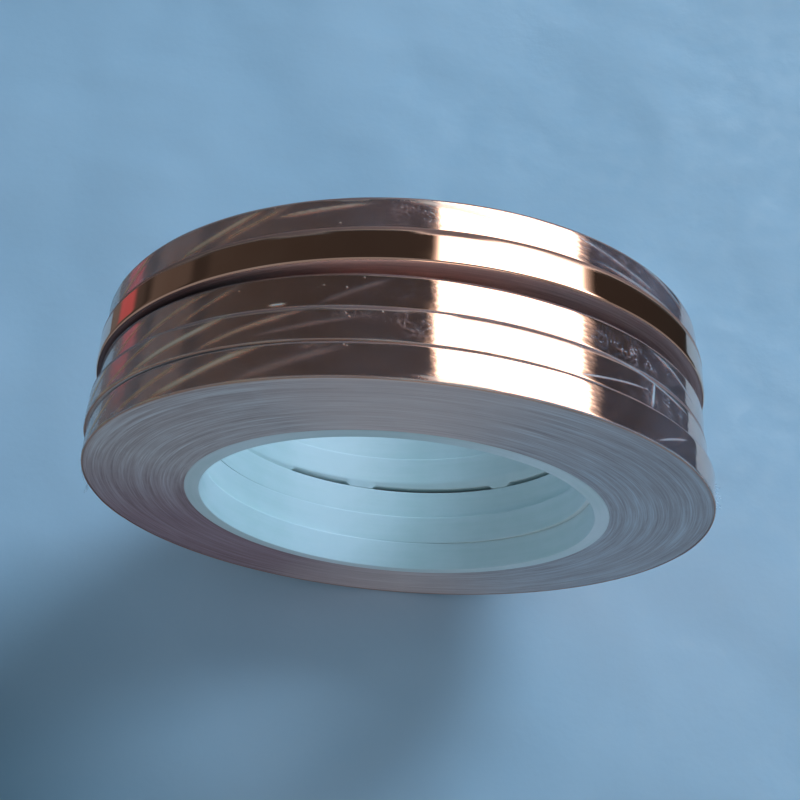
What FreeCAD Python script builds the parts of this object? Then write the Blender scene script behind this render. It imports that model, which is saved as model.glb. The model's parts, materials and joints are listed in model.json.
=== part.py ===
import FreeCAD, Part
import Sketcher

import os

# A row of five narrow copper foil tape rolls, standing on their rims.
#
# Each roll is a moulded core, the tape wound on it and the outermost turn of foil. Four of the
# rolls are still wrapped in stretch film with a loose film end; the fourth from the front is
# open, and its tape end lifts off.
#
# Frame: +Z is up, +Y runs back through the row along the bores. The origin is the middle of
# the front roll's bore. All rims stand on one level, the front roll's radius below the origin.
# The two rear rolls are turned a little about the vertical, which leaves a wedge-shaped gap in
# front of them.
#
# The open roll's core has a lip that reaches forward across that gap: a skewed ring, a little
# wider in the bore than the core, whose front face lies parallel to the middle roll's core.
#
# Every roll is drawn in its own frame: local Y is its bore axis and the local origin is the
# middle of its bore. Sketches hold the radius along x and the place along the bore along y.

DIMENSIONS = [
    ("bore_radius", 38.1, "radius of the core's bore, for a three inch spindle"),
    ("core_wall", 2.8, "wall thickness of the moulded core"),
    ("core_width", 6.1, "length of the core along the bore"),
    ("core_edge", 0.35, "bevel on both rims of the bore"),
    ("roll_pitch", 6.2, "distance between neighbouring rolls, face to face"),
    ("tape_width", 6.0, "width of the tape"),
    ("tape_thickness", 0.12, "one turn of tape: foil, adhesive and liner"),
    ("film_thickness", 0.12, "stretch film, several layers"),
    ("roll_1_radius", 60.0, "outer radius of the front roll over its film"),
    ("roll_2_radius", 59.8, "outer radius of the second roll over its film"),
    ("roll_3_radius", 59.3, "outer radius of the middle roll over its film"),
    ("roll_4_radius", 59.8, "outer radius of the open roll"),
    ("roll_5_radius", 59.3, "outer radius of the rear roll over its film"),
    ("roll_1_shift", 0.0, "sideways place of each roll in the row"),
    ("roll_2_shift", -1.0, "sideways place of the second roll"),
    ("roll_3_shift", -0.7, "sideways place of the middle roll"),
    ("roll_4_shift", -1.05, "sideways place of the open roll"),
    ("roll_5_shift", -1.1, "sideways place of the rear roll"),
    ("rear_gap", 1.95, "space in front of the fourth roll's core, at its middle"),
    ("rear_yaw", 1.9, "turn of the two rear rolls about the vertical, degrees"),
    ("lip_radius", 38.6, "bore radius of the lip on the open roll's core"),
    ("lip_reach", 3.2, "how far the lip stands out before its front is cut off askew"),
    ("lip_gap", 0.65, "space between the lip's front and the middle roll's core"),
    ("strip_clearance", 0.03, "space under a loose strip that lies on its roll"),
    ("liner_thickness", 0.06, "paper release liner on the loose tape end"),
    ("foil_thickness", 0.06, "copper foil and adhesive on the loose tape end"),
    ("tape_end_angle", 345.0, "where the loose tape end leaves the roll, degrees"),
    ("foil_end_sweep", 15.0, "how far round the roll the loose foil reaches, degrees"),
    ("liner_end_sweep", 17.0, "how far round the roll the loose liner reaches, degrees"),
    ("film_end_thickness", 0.10, "loose end of the stretch film"),
    ("film_end_gap", 0.15, "space between a film end and the wrap that it peels from"),
]

WRAPPED_ROLLS = (1, 2, 3, 5)
OPEN_ROLL = 4
REAR_ROLLS = (4, 5)

# A loose film end leaves its roll at an angle from +X towards +Z, in degrees, and curls away on
# a radius in millimetres through a sweep in degrees. All of them droop: the one on the right of
# its roll runs back the other way round.
FILM_ENDS = {
    1: {"angle": 176.0, "curl": 36.0, "sweep": 17.0, "clockwise": False},
    2: {"angle": 6.0, "curl": 7.0, "sweep": 70.0, "clockwise": True},
    3: {"angle": 216.0, "curl": 20.0, "sweep": 25.0, "clockwise": False},
    5: {"angle": 204.0, "curl": 16.0, "sweep": 30.0, "clockwise": False},
}


def fill_sheet(doc):
    """Writes the driving dimensions into the spreadsheet, one alias to a row."""
    sheet = doc.addObject("Spreadsheet::Sheet", "Dimensions")
    rows = list(DIMENSIONS)
    for roll, end in FILM_ENDS.items():
        rows.append((f"film_end_{roll}_angle", end["angle"], "where the film end leaves, degrees"))
        rows.append((f"film_end_{roll}_curl", end["curl"], "radius that the film end curls on"))
        rows.append((f"film_end_{roll}_sweep", end["sweep"], "how far it curls, degrees"))
    for row, (alias, value, note) in enumerate(rows, start=1):
        sheet.set(f"A{row}", alias)
        sheet.set(f"B{row}", str(value))
        sheet.set(f"C{row}", note)
        sheet.setAlias(f"B{row}", alias)
    return sheet


def sized(name):
    """A spreadsheet cell, as an expression names it."""
    return f"Dimensions.{name}"


def place_roll_piece(body, roll):
    """Binds a piece to its roll's place in the row."""
    height = f"{sized(f'roll_{roll}_radius')} - {sized('roll_1_radius')}"
    shift = sized(f"roll_{roll}_shift")
    half_width = f"{sized('core_width')} / 2"
    if roll not in REAR_ROLLS:
        across = shift
        along = f"{roll - 1} * {sized('roll_pitch')}"
    else:
        yaw = f"{sized('rear_yaw')} * 1 deg"
        rolls_in_front = REAR_ROLLS[0] - 2
        gap_end = f"{rolls_in_front} * {sized('roll_pitch')} + {half_width} + {sized('rear_gap')}"
        behind_gap = f"({roll - REAR_ROLLS[0]} * {sized('roll_pitch')} + {half_width})"
        across = f"{shift} * cos({yaw}) - {behind_gap} * sin({yaw})"
        along = f"{gap_end} + {shift} * sin({yaw}) + {behind_gap} * cos({yaw})"
        body.Placement = FreeCAD.Placement(
            FreeCAD.Vector(0, 0, 0), FreeCAD.Rotation(FreeCAD.Vector(0, 0, 1), 1)
        )
        body.setExpression("Placement.Rotation.Angle", yaw)
    body.setExpression("Placement.Base.x", across)
    body.setExpression("Placement.Base.y", along)
    body.setExpression("Placement.Base.z", height)


def new_sketch(body, name):
    """An empty sketch on the plane through the roll's local X and its bore axis."""
    sketch = body.newObject("Sketcher::SketchObject", f"{body.Name}_{name}")
    plane = next(f for f in body.Origin.OriginFeatures if f.Role == "XY_Plane")
    sketch.AttachmentSupport = (plane, [""])
    sketch.MapMode = "FlatFace"
    return sketch


def measure(sketch, name, constraint, expression):
    """A named sketch dimension that follows an expression."""
    index = sketch.addConstraint(constraint)
    sketch.renameConstraint(index, name)
    sketch.setExpression(f"Constraints.{name}", expression)


def add_rectangle(sketch, corners):
    """Four joined sides, anticlockwise from the lower left corner; side 0 is the lowest."""
    points = [FreeCAD.Vector(x, y, 0) for x, y in corners]
    for start, end in zip(points, points[1:] + points[:1]):
        sketch.addGeometry(Part.LineSegment(start, end))
    for side in range(4):
        following = (side + 1) % 4
        sketch.addConstraint(Sketcher.Constraint("Coincident", side, 2, following, 1))
    for side, direction in enumerate(("Horizontal", "Vertical", "Horizontal", "Vertical")):
        sketch.addConstraint(Sketcher.Constraint(direction, side))


def draw_section(body, inner, thickness, width, front=None, turn=None, axis_at=None):
    """A rectangle in a plane through the bore axis, centred on the roll's width.

    front moves it: the distance from the roll's middle forward to the section's front side.
    turn is the plane's angle from +X towards +Z, and axis_at is the radius of a second axis,
    parallel to the bore, that a curled strip is turned about.
    """
    sketch = new_sketch(body, "section")
    if turn is not None:
        sketch.AttachmentOffset = FreeCAD.Placement(
            FreeCAD.Vector(0, 0, 0), FreeCAD.Rotation(FreeCAD.Vector(0, -1, 0), 1)
        )
        sketch.setExpression("AttachmentOffset.Rotation.Angle", f"{turn} * 1 deg")

    add_rectangle(sketch, [(50, -3), (52, -3), (52, 3), (50, 3)])
    if front is None:
        front = f"{width} / 2"
    measure(sketch, "inner", Sketcher.Constraint("DistanceX", -1, 1, 0, 1, 50), inner)
    measure(sketch, "thickness", Sketcher.Constraint("DistanceX", 0, 1, 0, 2, 2), thickness)
    measure(sketch, "front", Sketcher.Constraint("DistanceY", 0, 1, -1, 1, 3), front)
    measure(sketch, "width", Sketcher.Constraint("DistanceY", 1, 1, 1, 2, 6), width)
    if axis_at is not None:
        low, high = FreeCAD.Vector(70, -3, 0), FreeCAD.Vector(70, 3, 0)
        sketch.addGeometry(Part.LineSegment(low, high), True)
        sketch.addConstraint(Sketcher.Constraint("Vertical", 4))
        sketch.addConstraint(Sketcher.Constraint("DistanceY", -1, 1, 4, 2, 3))
        sketch.addConstraint(Sketcher.Constraint("DistanceY", 4, 1, 4, 2, 6))
        measure(sketch, "axis_at", Sketcher.Constraint("DistanceX", -1, 1, 4, 1, 70), axis_at)
    return sketch


def new_body(doc, node, roll):
    """An empty body that names its node and stands in its roll's place."""
    body = doc.addObject("PartDesign::Body", node)
    body.Label = node
    place_roll_piece(body, roll)
    return body


def turn_section(body, sketch, axis="V_Axis", sweep=None, reverse=False):
    """Turns the section about the bore axis, or about the section's own second axis."""
    revolution = body.newObject("PartDesign::Revolution", f"{body.Name}_turned")
    revolution.Profile = sketch
    revolution.ReferenceAxis = (sketch, [axis])
    revolution.Angle = 360
    revolution.Reversed = reverse
    if sweep is not None:
        revolution.setExpression("Angle", sweep)
    sketch.Visibility = False
    return revolution


def make_ring(doc, node, roll, inner, thickness, width):
    """A plain ring around the bore."""
    body = new_body(doc, node, roll)
    turn_section(body, draw_section(body, inner, thickness, width))
    return body


def make_core(doc, roll):
    """The moulded core, with both rims of its bore bevelled."""
    body = make_ring(
        doc,
        f"roll_{roll}_core",
        roll,
        sized("bore_radius"),
        sized("core_wall"),
        sized("core_width"),
    )
    doc.recompute()
    ring = body.Tip
    bore_radius = doc.Dimensions.bore_radius
    rims = []
    for number, edge in enumerate(ring.Shape.Edges, start=1):
        is_circle = isinstance(edge.Curve, Part.Circle)
        if is_circle and abs(edge.Curve.Radius - bore_radius) < 0.01:
            rims.append(f"Edge{number}")
    bevel = body.newObject("PartDesign::Chamfer", f"{body.Name}_bevel")
    bevel.Base = (ring, rims)
    bevel.setExpression("Size", sized("core_edge"))
    return body


def add_lip(body):
    """The open core's lip: a ring in front of it, cut off parallel to the middle roll's core."""
    half_width = f"{sized('core_width')} / 2"
    sketch = draw_section(
        body,
        sized("lip_radius"),
        f"{sized('bore_radius')} + {sized('core_wall')} - {sized('lip_radius')}",
        f"{sized('lip_reach')} + {sized('core_edge')}",
        front=f"{half_width} + {sized('lip_reach')}",
    )
    turn_section(body, sketch)

    # Turned back by the roll's own yaw, this sketch has its x along the front of the row.
    slab = new_sketch(body, "skew_cut")
    slab.AttachmentOffset = FreeCAD.Placement(
        FreeCAD.Vector(0, 0, 0), FreeCAD.Rotation(FreeCAD.Vector(0, 0, -1), 1)
    )
    slab.setExpression("AttachmentOffset.Rotation.Angle", f"{sized('rear_yaw')} * 1 deg")
    add_rectangle(slab, [(-50, -14), (50, -14), (50, -4), (-50, -4)])
    slab.addConstraint(Sketcher.Constraint("DistanceX", 0, 1, -1, 1, 50))
    slab.addConstraint(Sketcher.Constraint("DistanceX", 0, 1, 0, 2, 100))
    slab.addConstraint(Sketcher.Constraint("DistanceY", 1, 1, 1, 2, 10))
    yaw = f"{sized('rear_yaw')} * 1 deg"
    lip_front = (
        f"{sized('rear_gap')} + {sized(f'roll_{OPEN_ROLL}_shift')} * sin({yaw})"
        f" + {half_width} * cos({yaw}) - {sized('lip_gap')}"
    )
    measure(slab, "lip_front", Sketcher.Constraint("DistanceY", 2, 1, -1, 1, 4), lip_front)
    cut = body.newObject("PartDesign::Pocket", f"{body.Name}_skewed_front")
    cut.Profile = slab
    cut.Type = "ThroughAll"
    cut.SideType = "Symmetric"
    slab.Visibility = False


def foil_radius(roll):
    """The outer radius of a roll's copper, under any film."""
    radius = sized(f"roll_{roll}_radius")
    if roll in WRAPPED_ROLLS:
        return f"({radius} - {sized('film_thickness')})"
    return radius


def make_windings(doc, roll):
    """The wound tape on its core, and the outermost turn that shows its foil."""
    core_outside = f"({sized('bore_radius')} + {sized('core_wall')})"
    outermost_inner = f"({foil_radius(roll)} - {sized('tape_thickness')})"
    make_ring(
        doc,
        f"roll_{roll}_wound_tape",
        roll,
        core_outside,
        f"{outermost_inner} - {core_outside}",
        sized("tape_width"),
    )
    make_ring(
        doc,
        f"roll_{roll}_outer_turn",
        roll,
        outermost_inner,
        sized("tape_thickness"),
        sized("tape_width"),
    )


def make_film(doc, roll):
    """The stretch film around a wrapped roll, and its loose end, which curls off the rim."""
    make_ring(
        doc,
        f"roll_{roll}_film_wrap",
        roll,
        foil_radius(roll),
        sized("film_thickness"),
        sized("tape_width"),
    )
    body = new_body(doc, f"roll_{roll}_film_end", roll)
    start = f"({sized(f'roll_{roll}_radius')} + {sized('film_end_gap')})"
    sketch = draw_section(
        body,
        start,
        sized("film_end_thickness"),
        sized("tape_width"),
        turn=sized(f"film_end_{roll}_angle"),
        axis_at=f"{start} + {sized(f'film_end_{roll}_curl')}",
    )
    turn_section(
        body,
        sketch,
        axis="Axis0",
        sweep=sized(f"film_end_{roll}_sweep"),
        reverse=FILM_ENDS[roll]["clockwise"],
    )


def make_tape_end(doc):
    """The open roll's loose tape end: the foil, and the liner under it, lying on the roll."""
    liner_inner = f"({foil_radius(OPEN_ROLL)} + {sized('strip_clearance')})"
    foil_inner = f"({liner_inner} + {sized('liner_thickness')})"
    for strip, inner in (("liner", liner_inner), ("foil", foil_inner)):
        body = new_body(doc, f"roll_{OPEN_ROLL}_tape_end_{strip}", OPEN_ROLL)
        sketch = draw_section(
            body,
            inner,
            sized(f"{strip}_thickness"),
            sized("tape_width"),
            turn=sized("tape_end_angle"),
        )
        turn_section(body, sketch, sweep=sized(f"{strip}_end_sweep"))


def check_and_export(doc):
    """Stops on any failed feature or bad solid, then writes one STEP file for each body."""
    for item in doc.Objects:
        if "Invalid" in item.State or "Error" in item.State:
            raise RuntimeError(f"{item.Label} failed: {item.State}")
    bodies = [item for item in doc.Objects if item.TypeId == "PartDesign::Body"]
    for body in bodies:
        shape = body.Shape
        if shape.isNull() or not shape.isValid() or len(shape.Solids) != 1:
            raise RuntimeError(f"{body.Label} is not one valid solid")
    os.makedirs("parts", exist_ok=True)
    for body in bodies:
        body.Shape.exportStep(f"parts/{body.Label}.step")
        print(f"{body.Label}: {body.Shape.Volume:.1f} mm3")


doc = FreeCAD.newDocument("copper_foil_tape_rolls")
fill_sheet(doc)
doc.recompute()
for roll in range(1, 6):
    core = make_core(doc, roll)
    if roll == OPEN_ROLL:
        add_lip(core)
    make_windings(doc, roll)
    if roll in WRAPPED_ROLLS:
        make_film(doc, roll)
make_tape_end(doc)
doc.recompute()
check_and_export(doc)
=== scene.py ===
import json
import math

import bpy
import numpy as np
from mathutils import Matrix, Vector


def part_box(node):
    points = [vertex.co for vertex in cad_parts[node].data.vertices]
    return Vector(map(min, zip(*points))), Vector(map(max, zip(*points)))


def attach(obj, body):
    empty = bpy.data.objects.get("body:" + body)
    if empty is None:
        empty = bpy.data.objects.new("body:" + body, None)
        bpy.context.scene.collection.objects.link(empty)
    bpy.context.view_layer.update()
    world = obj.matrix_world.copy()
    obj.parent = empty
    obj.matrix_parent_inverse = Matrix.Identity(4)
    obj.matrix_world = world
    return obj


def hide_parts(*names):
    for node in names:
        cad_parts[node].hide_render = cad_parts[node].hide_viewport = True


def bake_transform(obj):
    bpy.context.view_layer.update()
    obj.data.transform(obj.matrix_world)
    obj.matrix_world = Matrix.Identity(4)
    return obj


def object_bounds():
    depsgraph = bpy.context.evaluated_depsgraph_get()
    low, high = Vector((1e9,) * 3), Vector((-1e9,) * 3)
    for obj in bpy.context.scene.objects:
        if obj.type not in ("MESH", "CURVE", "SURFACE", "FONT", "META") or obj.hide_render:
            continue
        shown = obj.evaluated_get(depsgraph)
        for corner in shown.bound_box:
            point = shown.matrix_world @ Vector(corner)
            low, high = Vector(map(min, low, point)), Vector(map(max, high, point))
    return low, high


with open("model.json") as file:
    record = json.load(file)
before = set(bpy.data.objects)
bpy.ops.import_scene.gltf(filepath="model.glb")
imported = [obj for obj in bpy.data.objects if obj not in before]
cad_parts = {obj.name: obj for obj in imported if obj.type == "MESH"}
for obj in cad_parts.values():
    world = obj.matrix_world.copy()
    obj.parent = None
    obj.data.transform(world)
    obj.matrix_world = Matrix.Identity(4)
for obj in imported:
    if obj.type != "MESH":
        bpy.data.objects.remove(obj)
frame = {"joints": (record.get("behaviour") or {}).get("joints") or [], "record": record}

# The looks of a row of five copper foil tape rolls that stand on their rims.
#
# Every ring is built in its roll's own frame, whose Y is the bore axis: an angle runs from +X
# towards +Z, so 90 degrees is the top of a roll and 180 is its left. Lengths in tables are in
# millimetres and angles in degrees; meshes are in metres.

cad_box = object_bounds()
MM = 0.001
ROLLS = (1, 2, 3, 4, 5)
OPEN_ROLL = 4
WRAPPED_ROLLS = (1, 2, 3, 5)

MOUNTS = {mount["name"]: mount for mount in frame["record"]["mounts"]}
JOINTS = {joint["name"]: joint for joint in frame["joints"]}


def width_of(node):
    """How wide a piece of the front roll is along the bore, in mm."""
    low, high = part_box(node)
    return (high.y - low.y) / MM


CORE_WIDTH = width_of("roll_1_core")
TAPE_WIDTH = width_of("roll_1_outer_turn")
FLOOR_LEVEL = cad_box[0].z

# How finely rings are cut: pieces of a rounded corner, and pieces of a short straight side.
CORNER_STEPS = 4
END_STEPS = 4


def half_height(node):
    """Half the height of a CAD node, in mm: the outside radius of a ring."""
    low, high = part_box(node)
    return (high.z - low.z) / 2 / MM


def read_roll(number):
    """A roll's names, its place in the row in metres, and its radii in mm, from the frame."""
    name = f"roll_{number}"
    mount = MOUNTS[f"{name}_bore"]
    along = Vector(mount["axis"])
    if along.y < 0:
        along.negate()
    return {
        "number": number,
        "name": name,
        "centre": Vector(mount["pos_m"]),
        "yaw": math.atan2(-along.x, along.y),
        "bore": mount["dims"]["r_mm"],
        "core": half_height(f"{name}_core"),
        "winding": half_height(f"{name}_wound_tape"),
        "foil": half_height(f"{name}_outer_turn"),
    }


# -------------------- meshes


def arc_points(centre, radius, start, end, steps):
    """Points on an arc in a section, start and end in degrees."""
    points = []
    for step in range(steps + 1):
        turn = math.radians(start + (end - start) * step / steps)
        points.append((centre[0] + radius * math.cos(turn), centre[1] + radius * math.sin(turn)))
    return points


def straight_points(start, end, steps):
    """The points between two corners of a section, without the corners."""
    return [
        (start[0] + (end[0] - start[0]) * k / steps, start[1] + (end[1] - start[1]) * k / steps)
        for k in range(1, steps)
    ]


def ring_section(inner, outer, back, front, inner_round, outer_round, along):
    """A rounded rectangle of (radius, along) points in mm, anticlockwise, so that faces look out.

    back and front are how far it reaches from the roll's middle; along is the steps in its length.
    """
    corners = [
        (outer - outer_round, back - outer_round, outer_round),
        (inner + inner_round, back - inner_round, inner_round),
        (inner + inner_round, inner_round - front, inner_round),
        (outer - outer_round, outer_round - front, outer_round),
    ]
    bends = [
        arc_points((radius, place), bend, 90 * turn, 90 * (turn + 1), CORNER_STEPS)
        for turn, (radius, place, bend) in enumerate(corners)
    ]
    steps = (END_STEPS, along, END_STEPS, along)
    section = []
    for side, bend in enumerate(bends):
        following = bends[(side + 1) % len(bends)]
        section += bend
        section += straight_points(bend[-1], following[0], steps[side])
    return section


def grid_mesh(name, points, closed_along, closed_across):
    """A mesh over a grid of points, shaped (rows, columns, 3), in metres."""
    rows, columns = points.shape[:2]
    index = np.arange(rows * columns).reshape(rows, columns)
    if closed_along:
        index = np.vstack([index, index[:1]])
    if closed_across:
        index = np.hstack([index, index[:, :1]])
    faces = np.stack([index[:-1, :-1], index[:-1, 1:], index[1:, 1:], index[1:, :-1]], axis=-1)
    mesh = bpy.data.meshes.new(name)
    mesh.from_pydata(points.reshape(-1, 3).tolist(), [], faces.reshape(-1, 4).tolist())
    mesh.shade_smooth()
    return mesh


def add_piece(name, mesh, material, sharp_above=None):
    """An object for the mesh, with its material; edges sharper than the given angle stay crisp."""
    if sharp_above is not None:
        mesh.set_sharp_from_angle(angle=math.radians(sharp_above))
    mesh.materials.append(material)
    piece = bpy.data.objects.new(name, mesh)
    bpy.context.scene.collection.objects.link(piece)
    return piece


def store(mesh, name, values):
    """Keeps one number for each vertex, for the material to read."""
    attribute = mesh.attributes.new(name, "FLOAT", "POINT")
    attribute.data.foreach_set("value", np.asarray(values, np.float32).ravel())


def ring_mesh(name, section, segments, shape=None):
    """Turns a closed section around the bore.

    shape takes the angles, radii and places along the bore of the whole grid and gives back the
    two last, changed, and a dictionary of numbers to store for each vertex.
    """
    angles = (np.arange(segments) * math.tau / segments)[:, None]
    radius = np.tile([point[0] for point in section], (segments, 1))
    along = np.tile([point[1] for point in section], (segments, 1))
    stored = {}
    if shape is not None:
        radius, along, stored = shape(angles, radius, along)
    points = np.stack([radius * np.cos(angles), along, radius * np.sin(angles)], axis=-1) * MM
    mesh = grid_mesh(name, points, closed_along=True, closed_across=True)
    for key, values in stored.items():
        store(mesh, key, values)
    return mesh


def smooth_step(low, high, value):
    """0 below low, 1 above high and a smooth rise between."""
    share = np.clip((value - low) / (high - low), 0, 1)
    return share * share * (3 - 2 * share)


def ripples(rng, angles, along, radius, wavelength, waves=14):
    """Seeded noise of about unit size over a rim, with one main wavelength and no seam."""
    total = 0.0
    for _ in range(waves):
        heading = rng.uniform(0, math.pi)
        length = wavelength * rng.uniform(0.7, 1.5)
        turns = round(math.tau * radius / length * math.cos(heading))
        climb = math.tau / length * math.sin(heading)
        total = total + np.cos(turns * angles + climb * along + rng.uniform(0, math.tau))
    return total / math.sqrt(waves / 2)


def stand_on_roll(piece, roll):
    """Puts a piece in its roll's frame."""
    piece.location = roll["centre"]
    piece.rotation_euler = (0, 0, roll["yaw"])


def place_on_roll(piece, roll, part):
    """Stands a piece in its roll's frame, in place of the CAD node of that part."""
    stand_on_roll(piece, roll)
    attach(piece, roll["name"])
    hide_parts(f"{roll['name']}_{part}")


# -------------------- materials


class Nodes:
    """Short calls for the kinds of node used here, in one node tree."""

    def __init__(self, tree):
        self.nodes = tree.nodes
        self.links = tree.links

    def add(self, kind, inputs=(), **settings):
        """A node with its settings; inputs gives a socket's value, or the output it comes from."""
        node = self.nodes.new(kind)
        for key, value in settings.items():
            setattr(node, key, value)
        for socket, value in dict(inputs).items():
            self.feed(node.inputs[socket], value)
        return node

    def feed(self, socket, value):
        """Links an output to the socket, or sets its plain value."""
        if isinstance(value, bpy.types.NodeSocket):
            self.links.new(value, socket)
        else:
            socket.default_value = value

    def math(self, operation, first, second, clamp=False):
        """One operation on two numbers, each an output or a plain value."""
        inputs = {0: first, 1: second}
        return self.add("ShaderNodeMath", inputs, operation=operation, use_clamp=clamp).outputs[0]

    def blend_sum(self, first, first_share, second, second_share):
        """Two numbers, each times its share, added up."""
        first_part = self.math("MULTIPLY", first, first_share)
        return self.math("ADD", first_part, self.math("MULTIPLY", second, second_share))

    def ramp(self, value, stops):
        """A colour ramp through (place, colour or grey) stops."""
        node = self.add("ShaderNodeValToRGB", {"Fac": value})
        elements = node.color_ramp.elements
        while len(elements) < len(stops):
            elements.new(0.5)
        for element, (place, colour) in zip(elements, stops):
            element.position = place
            shade = colour if isinstance(colour, tuple) else (colour, colour, colour)
            element.color = (*shade, 1)
        return node.outputs["Color"]

    def mix(self, share, first, second, blend="MIX"):
        """Two colours mixed, each an output or a plain colour."""
        node = self.add("ShaderNodeMix", data_type="RGBA", blend_type=blend)
        self.feed(node.inputs["Factor"], share)
        for socket, value in (("A", first), ("B", second)):
            target = next(s for s in node.inputs if s.name == socket and s.type == "RGBA")
            self.feed(target, (*value, 1) if isinstance(value, tuple) else value)
        return next(s for s in node.outputs if s.type == "RGBA")

    def spread(self, value, low, high, to_low, to_high, curve="LINEAR"):
        """Moves a value from one range to another, held at its ends."""
        ends = {"From Min": low, "From Max": high, "To Min": to_low, "To Max": to_high}
        node = self.add("ShaderNodeMapRange", {"Value": value, **ends}, interpolation_type=curve)
        return node.outputs["Result"]

    def rise(self, value, low, high, top=1.0, curve="LINEAR"):
        """0 at low and top at high, held beyond them and rising between."""
        return self.spread(value, low, high, 0.0, top, curve)


class Recipe(Nodes):
    """A material's nodes, with the surface coordinates and textures used here."""

    def __init__(self, name):
        self.material = bpy.data.materials.new(name)
        self.material.use_nodes = True
        super().__init__(self.material.node_tree)
        self.shader = next(n for n in self.nodes if n.type == "BSDF_PRINCIPLED")

    def set(self, socket, value):
        """Feeds one of the shader's own sockets."""
        self.feed(self.shader.inputs[socket], value)

    def bump(self, height, depth, strength):
        """Sets the shader's normal from a height between 0 and 1, depth in mm."""
        inputs = {"Strength": strength, "Distance": depth * MM, "Height": height}
        self.set("Normal", self.add("ShaderNodeBump", inputs).outputs["Normal"])

    def stored(self, name):
        """A number that the mesh keeps for each vertex."""
        return self.add("ShaderNodeAttribute", attribute_name=name).outputs["Fac"]

    def place(self):
        """The point in the piece's own frame."""
        return self.add("ShaderNodeTexCoord").outputs["Object"]

    def heading(self):
        """The unit direction away from the bore's axis, as X and Z."""
        inputs = {0: self.place(), 1: (1, 0, 1)}
        flat = self.add("ShaderNodeVectorMath", inputs, operation="MULTIPLY").outputs[0]
        unit = self.add("ShaderNodeVectorMath", {0: flat}, operation="NORMALIZE").outputs[0]
        return self.add("ShaderNodeSeparateXYZ", {"Vector": unit}).outputs

    def around(self, side_scale, rim_scale, around_scale):
        """Coordinates for streaks that run round the bore.

        side_scale is how fast they change with the radius, rim_scale with the place along the
        bore and around_scale with the heading.
        """
        point = self.add("ShaderNodeSeparateXYZ", {"Vector": self.place()}).outputs
        flat = self.add("ShaderNodeCombineXYZ", {"X": point["X"], "Y": point["Z"]}).outputs[0]
        radius = self.add("ShaderNodeVectorMath", {0: flat}, operation="LENGTH").outputs["Value"]
        heading = self.heading()
        inputs = {
            "X": self.blend_sum(radius, side_scale, point["Y"], rim_scale),
            "Y": self.math("MULTIPLY", heading["X"], around_scale),
            "Z": self.math("MULTIPLY", heading["Z"], around_scale),
        }
        return self.add("ShaderNodeCombineXYZ", inputs).outputs[0]

    def noise(self, vector, scale, detail, roughness=0.55):
        """Cloudy noise, mostly between 0.3 and 0.7; a larger scale is finer."""
        inputs = {"Vector": vector, "Scale": scale, "Detail": detail, "Roughness": roughness}
        return self.add("ShaderNodeTexNoise", inputs).outputs["Fac"]


def core_plastic():
    """White moulded plastic that lets a little light through."""
    recipe = Recipe("core_plastic")
    clouds = recipe.noise(recipe.place(), 38, 4)
    flow = recipe.noise(recipe.around(900, 500, 1.4), 1.0, 3)
    tone = recipe.blend_sum(clouds, 0.7, flow, 0.3)
    whites = [(0.3, (0.66, 0.76, 0.70)), (0.6, (0.84, 0.88, 0.86))]
    recipe.set("Base Color", recipe.ramp(tone, whites))
    recipe.set("Roughness", recipe.spread(clouds, 0.3, 0.7, 0.38, 0.52))
    recipe.set("Subsurface Weight", 0.25)
    recipe.set("Subsurface Radius", (1.0, 1.0, 1.0))
    recipe.set("Subsurface Scale", 1.2 * MM)
    recipe.set("Specular IOR Level", 0.35)
    recipe.bump(recipe.noise(recipe.place(), 900, 3), 0.02, 0.5)
    return recipe.material


# The direction on a wound side in which its painted shade is darkest, as X and Z.
PAINTED_SHADE_WAY = (-0.819, -0.574)


def wound_edges(name, painted_light_tint, right_painted_light, left_painted_light):
    """The cut side of the windings: fine rings of copper, adhesive and paper, with painted light
    and shade laid on by direction.
    """
    recipe = Recipe(name)
    turns = recipe.noise(recipe.around(4000, 900, 3.4), 1.0, 3, 0.7)
    bands = recipe.noise(recipe.around(1000, 300, 1.6), 1.0, 3)
    dust = recipe.noise(recipe.place(), 420, 4)
    tone = recipe.blend_sum(turns, 0.62, bands, 0.38)
    layers = [
        (0.34, (0.44, 0.31, 0.28)),
        (0.47, (0.61, 0.47, 0.43)),
        (0.53, (0.70, 0.58, 0.54)),
        (0.66, (0.86, 0.79, 0.76)),
    ]
    colour = recipe.ramp(tone, layers)
    colour = recipe.mix(recipe.rise(dust, 0.5, 0.75, 0.25), colour, (0.70, 0.64, 0.62))

    # Painted light and shade by direction round each side: a painted shade makes the lower left
    # darker and mauve, painted light makes the top and foot warmer, and the right and left get
    # tints of painted light and shade. Each line has what it goes by, where it begins and is full,
    # its share, its colour and how that is laid on.
    heading = recipe.heading()
    shaded_lower_left = recipe.blend_sum(heading["X"], PAINTED_SHADE_WAY[0], heading["Z"], PAINTED_SHADE_WAY[1])
    painted_shades = (
        (shaded_lower_left, 0.52, 0.96, 1.0, (0.60, 0.44, 0.50), "MULTIPLY"),
        (heading["Z"], 0.90, 0.99, 0.5, (0.96, 0.68, 0.58), "MIX"),
        (heading["Z"], -0.86, -0.99, 0.35, (0.96, 0.70, 0.64), "MIX"),
        (heading["X"], 0.05, 0.75, 1.0, right_painted_light, "MULTIPLY"),
        (heading["X"], -0.15, -0.6, 1.0, left_painted_light, "MULTIPLY"),
    )
    for value, begins, full, share, shade, blend in painted_shades:
        colour = recipe.mix(recipe.rise(value, begins, full, share), colour, shade, blend)
    # The overall tint is painted light and shade as well.
    recipe.set("Base Color", recipe.mix(1.0, colour, painted_light_tint, "MULTIPLY"))
    recipe.set("Metallic", 0.25)
    recipe.set("Roughness", recipe.spread(tone, 0.35, 0.65, 0.42, 0.6))
    recipe.bump(tone, 0.12, 0.9)
    return recipe.material


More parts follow.
